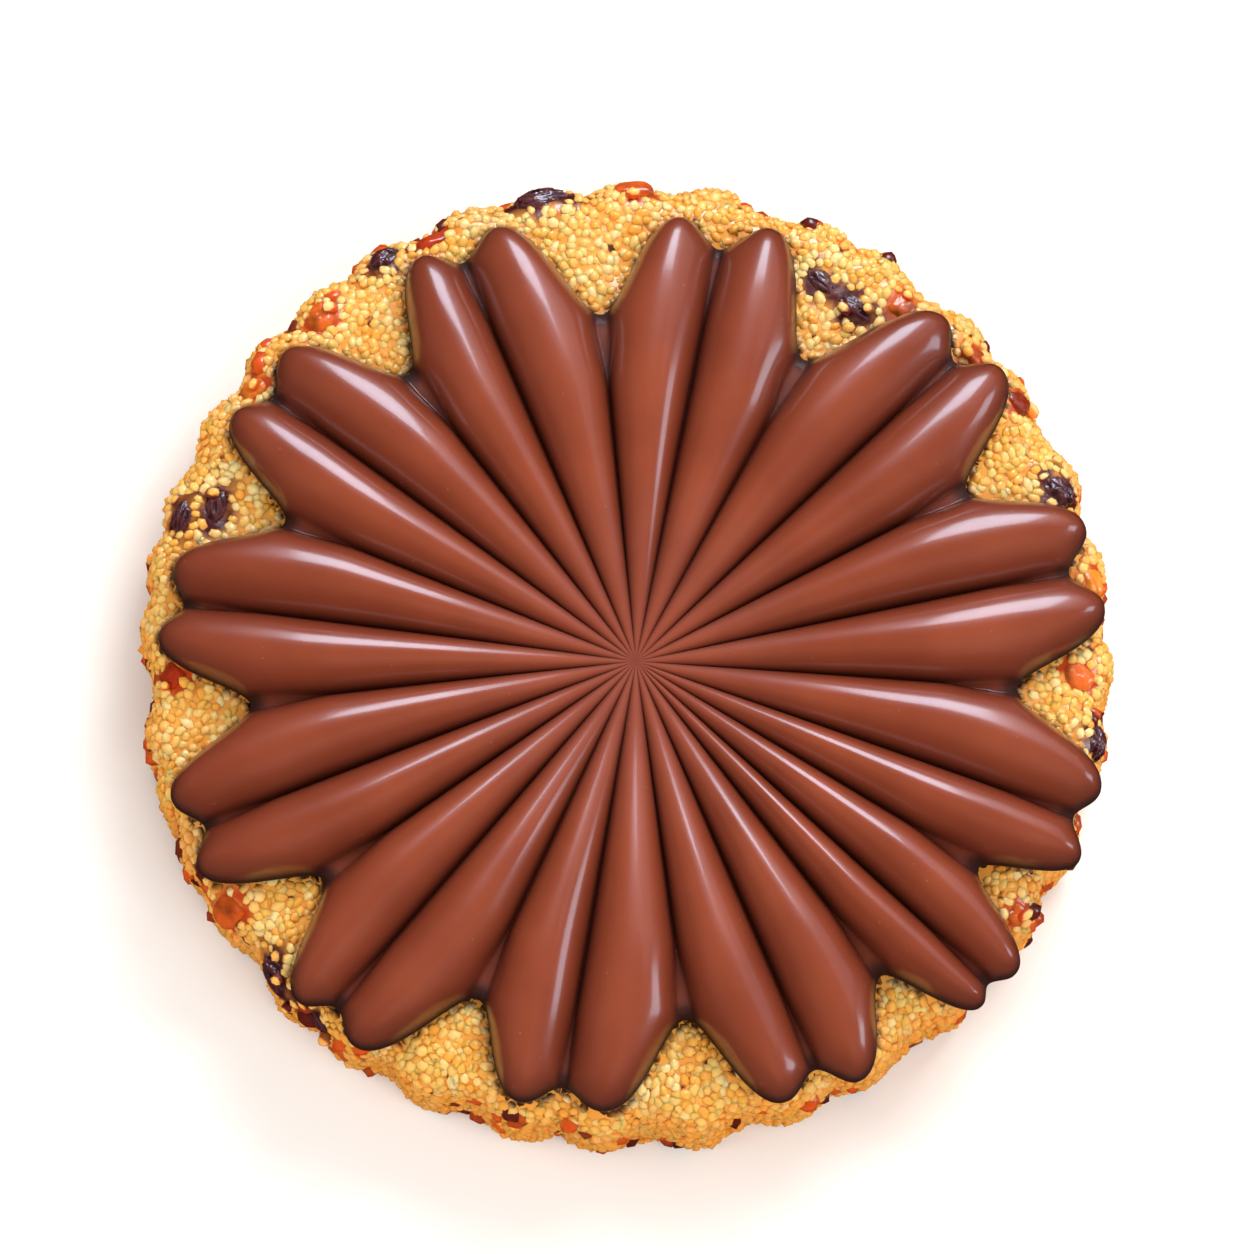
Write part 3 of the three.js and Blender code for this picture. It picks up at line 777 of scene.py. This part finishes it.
# Which kind a grain is changes in patches, as its baking does, and more are toasted low on the side.
patch_size = 9 * mm
crumb_share = 0.045  # of the grains at the rim whose place a fruit crumb takes
kind_draw = draws.uniform(0, 1, count)
patch = np.array([noise.noise(Vector(point) / patch_size + Vector((2, 9, 4))) for point in grain_points])
kind_draw = kind_draw + 0.5 * patch
low_side = np.clip((16 * mm - grain_points[:, 2]) / (14 * mm), 0, 1)
bake = np.clip((grain_downs + 0.5 * mm) / (6 * mm) + 0.7 * patch, 0, 1)
crumb_places = draws.uniform(0, 1, count) < crumb_share * np.clip((grain_downs + 1 * mm) / (4 * mm), 0, 1)
crumb_places &= ~under & ~dropped
dropped |= crumb_places
kind_draw = kind_draw - 0.25 * low_side + 0.25 * near_fruit * (~under)


def random_turns(number):
    """Rotation matrices spread evenly over all directions."""
    quaternions = draws.normal(size=(number, 4))
    w, x, y, z = (quaternions / np.linalg.norm(quaternions, axis=1, keepdims=True)).T
    return np.stack([
        np.stack([1 - 2 * (y * y + z * z), 2 * (x * y - w * z), 2 * (x * z + w * y)], axis=1),
        np.stack([2 * (x * y + w * z), 1 - 2 * (x * x + z * z), 2 * (y * z - w * x)], axis=1),
        np.stack([2 * (x * z - w * y), 2 * (y * z + w * x), 1 - 2 * (x * x + y * y)], axis=1),
    ], axis=1)


def bead(name, stretch, seed):
    """One plump, uneven grain of two dozen faces, of radius about 1."""
    deselect_everything()
    bpy.ops.mesh.primitive_cube_add(size=1.6)
    piece = bpy.context.object
    piece.name = name
    bpy.ops.object.mode_set(mode="EDIT")
    bpy.ops.mesh.select_all(action="SELECT")
    bpy.ops.mesh.subdivide(number_cuts=1, smoothness=1)
    bpy.ops.transform.tosphere(value=0.6)
    bpy.ops.transform.vertex_random(offset=0.2, seed=seed)
    bpy.ops.transform.resize(value=stretch)
    bpy.ops.object.mode_set(mode="OBJECT")
    return piece


def scatter(name, one, chosen, radii, tones):
    """Copies of one bead at the chosen places, joined in one mesh, with the numbers that colour them: how far
    each point stands out, the tone, the syrup and the baking, and the painted shadow beside the chocolate."""
    shape = vertex_places(one)
    faces = np.array([list(face.vertices) for face in one.data.polygons])
    bpy.data.objects.remove(one)
    number = len(chosen)
    turned = np.einsum("kij,vj->kvi", random_turns(number), shape) * radii[:, None, None]
    middles = grain_points[chosen] + grain_outward[chosen] * (lift[chosen] - grain_sunk * radii)[:, None]
    points = turned + middles[:, None]
    floor_level = draws.uniform(0.0, 0.09, number) * mm
    points[:, :, 2] = np.maximum(points[:, :, 2], floor_level[:, None])
    out = ((points - grain_points[chosen][:, None]) * grain_outward[chosen][:, None]).sum(axis=2)
    out = out - lift[chosen][:, None]
    all_faces = faces[None] + (np.arange(number) * len(shape))[:, None, None]
    mesh = bpy.data.meshes.new(name)
    mesh.from_pydata(points.reshape(-1, 3).tolist(), [], all_faces.reshape(-1, faces.shape[1]).tolist())
    piece = bpy.data.objects.new(name, mesh)
    bpy.context.scene.collection.objects.link(piece)
    mesh.shade_smooth()
    keep_numbers(piece, "rise", np.clip(out / (1.2 * mm) + 0.5, 0, 1).reshape(-1))
    keep_numbers(piece, "tone", np.repeat(tones, len(shape)))
    for trait, values in (("wine", wine), ("glow", glow), ("bake", bake)):
        keep_numbers(piece, trait, np.repeat(values[chosen], len(shape)))
    # Painted shadow: grains within about a millimetre of the chocolate's outline are painted dark, as its
    # contact shadow.
    painted_contact_shade = np.zeros(points.shape[:2])
    close = np.flatnonzero(beside[chosen] < 2.2 * mm)
    around = points[close, :, None, :2] - outline_places[::2]
    painted_contact_shade[close] = np.clip(1.35 - np.sqrt((around ** 2).sum(axis=3).min(axis=2)) / (0.95 * mm), 0, 1)
    keep_numbers(piece, "painted_contact_shade", painted_contact_shade.reshape(-1))
    return piece


def grain_finish(name, low, high, deep):
    """Half-clear grain flesh: two tones of one colour, browner at the rim, with amber syrup between the
    grains, wine-red or orange by the fruit, and painted dark brown as shadow where they touch the chocolate."""
    flesh = Finish(name)
    own = flesh.mix(flesh.attribute("tone"), low, high)
    height = flesh.add("ShaderNodeSeparateXYZ", i0=flesh.place).outputs[2]
    baked = flesh.mix(flesh.times(flesh.attribute("bake"), 0.8), own, paint(232, 146, 54))
    under_baked = flesh.mix(flesh.span(height, 2.0 * mm, 0.3 * mm, 0.0, 0.5), baked, paint(150, 84, 36))
    wine = flesh.attribute("wine")
    seeped = flesh.mix(flesh.attribute("glow"), deep, paint(206, 70, 20))
    seeped = flesh.mix(wine, seeped, paint(96, 24, 26))
    rise = flesh.math("SUBTRACT", flesh.attribute("rise"), flesh.times(wine, 0.06))
    wet = flesh.mix(flesh.span(rise, 0.45, 0.68, 1.0, 0.0), under_baked, seeped)
    mottle = flesh.noise(850.0, 2.0)
    flesh.set(
        # The contact shadow beside the chocolate is painted dark brown.
        Base_Color=flesh.mix(flesh.attribute("painted_contact_shade"), wet, paint(52, 22, 10)),
        Roughness=flesh.span(mottle, 0.3, 0.7, 0.4, 0.55), Specular_IOR_Level=0.35,
        Coat_Weight=0.5, Coat_Roughness=0.05,
        Subsurface_Weight=0.7, Subsurface_Radius=(1.0, 0.6, 0.3), Subsurface_Scale=1.6 * mm,
        Normal=flesh.bump(mottle, 0.3, 0.12 * mm))
    return flesh.material


# Name, range of the draw that gives the kind, stretch of its bead, seed of its unevenness, finish
kinds = [
    ("golden_grains", 0.30, 0.78, (1.24, 0.94, 0.82), 3,
     grain_finish("golden_grain", paint(250, 178, 86), paint(255, 194, 112), paint(230, 132, 42))),
    ("pale_grains", 0.78, 9.0, (1.3, 0.92, 0.8), 8,
     grain_finish("pale_grain", paint(254, 196, 118), paint(255, 210, 146), paint(236, 146, 58))),
    ("toasted_grains", -9.0, 0.30, (1.26, 0.92, 0.78), 14,
     grain_finish("toasted_grain", paint(246, 162, 64), paint(252, 178, 84), paint(222, 114, 30))),
]
for name, least, most, stretch, seed, finish in kinds:
    for side in ("top", "under"):
        on_side = under if side == "under" else ~under
        chosen = np.flatnonzero((kind_draw >= least) & (kind_draw < most) & ~dropped & on_side)
        radii = draws.uniform(smallest_grain, largest_grain, len(chosen))
        if side == "under":
            radii = radii * under_growth
        tones = draws.uniform(0, 1, len(chosen))
        piece = scatter(f"{name}_{side}", bead(name, stretch, seed), chosen, radii, tones)
        piece.data.materials.append(finish)
        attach(piece, "root")


# ---- Fruit crumbs ----
# Crumbs of candied fruit and raisin of 2 to 3 mm that sit among the grains round the rim, dark red to
# orange and sticky, made of one rough bead repeated.

smallest_crumb = 1.0 * mm
largest_crumb = 1.6 * mm
crumb_flesh = Finish("fruit_crumb")
crumb_tone = crumb_flesh.attribute("tone")
crumb_colour = crumb_flesh.mix(
    crumb_flesh.span(crumb_tone, 0.35, 0.65), paint(92, 28, 20), paint(206, 84, 22))
crumb_flesh.set(
    Base_Color=crumb_colour, Roughness=0.3, Coat_Weight=0.5, Coat_Roughness=0.08,
    Subsurface_Weight=0.5, Subsurface_Radius=(1.0, 0.3, 0.08), Subsurface_Scale=1.5 * mm,
    Normal=crumb_flesh.bump(crumb_flesh.noise(600.0, 2.0), 0.4, 0.2 * mm))
chosen = np.flatnonzero(crumb_places)
crumb_bead = bead("fruit_crumbs", (1.3, 1.0, 0.8), 21)
crumb_radii = draws.uniform(smallest_crumb, largest_crumb, len(chosen))
crumbs = scatter("fruit_crumbs", crumb_bead, chosen, crumb_radii, draws.uniform(0, 1, len(chosen)))
crumbs.data.materials.append(crumb_flesh.material)
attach(crumbs, "root")


# ---- Floor and light ----
# A plain pale table in soft studio light. Two softboxes and a pale screen give the cookie its highlights,
# three fills and the pale surrounding its shading.

table_size = 6
deselect_everything()
bpy.ops.mesh.primitive_plane_add(size=table_size)
floor = bpy.context.object
floor.name = "pale_table"
table_top = Finish("pale_table")
table_top.set(Base_Color=(0.87, 0.87, 0.88, 1), Roughness=0.6)
floor.data.materials.append(table_top.material)
floor.visible_glossy = False


def softbox(name, azimuth, elevation, distance, width, height, power, colour, mirrored):
    """A rectangular softbox that faces the cookie, and gives it either its highlights or its shading."""
    lamp_data = bpy.data.lights.new(name, "AREA")
    lamp_data.shape = "RECTANGLE"
    lamp_data.size = width
    lamp_data.size_y = height
    lamp_data.energy = power
    lamp_data.color = colour
    lamp = bpy.data.objects.new(name, lamp_data)
    flat = math.cos(math.radians(elevation))
    lamp.location = Vector((
        distance * flat * math.cos(math.radians(azimuth)), distance * flat * math.sin(math.radians(azimuth)),
        distance * math.sin(math.radians(elevation))))
    lamp.rotation_euler = (-lamp.location).to_track_quat("-Z", "Y").to_euler()
    lamp.visible_glossy = mirrored
    lamp.visible_diffuse = not mirrored
    bpy.context.scene.collection.objects.link(lamp)


softbox("back_softbox", 80, 42, 1.1, 0.46, 0.6, 12.5, (0.68, 0.82, 1.0), True)
softbox("right_softbox", 0, 18, 1.1, 0.3, 0.5, 3.4, (0.68, 0.82, 1.0), True)
softbox("pale_screen", 55, 38, 1.5, 1.8, 1.2, 5.5, (0.82, 0.86, 1.0), True)
softbox("key_fill", 58, 42, 1.2, 0.6, 0.6, 12.5, (1.0, 0.96, 0.9), False)
softbox("front_fill", 305, 50, 1.3, 1.0, 1.0, 11, (1.0, 0.96, 0.9), False)
softbox("left_fill", 185, 42, 1.3, 1.0, 1.0, 6.5, (1.0, 0.96, 0.9), False)

world = bpy.data.worlds.new("pale_surrounding")
world.use_nodes = True
surrounding = world.node_tree.nodes["Background"]
surrounding.inputs["Color"].default_value = (1.0, 0.95, 0.88, 1)
surrounding.inputs["Strength"].default_value = 0.5
bpy.context.scene.world = world
world.cycles_visibility.glossy = False
bpy.context.scene.view_settings.view_transform = "Standard"
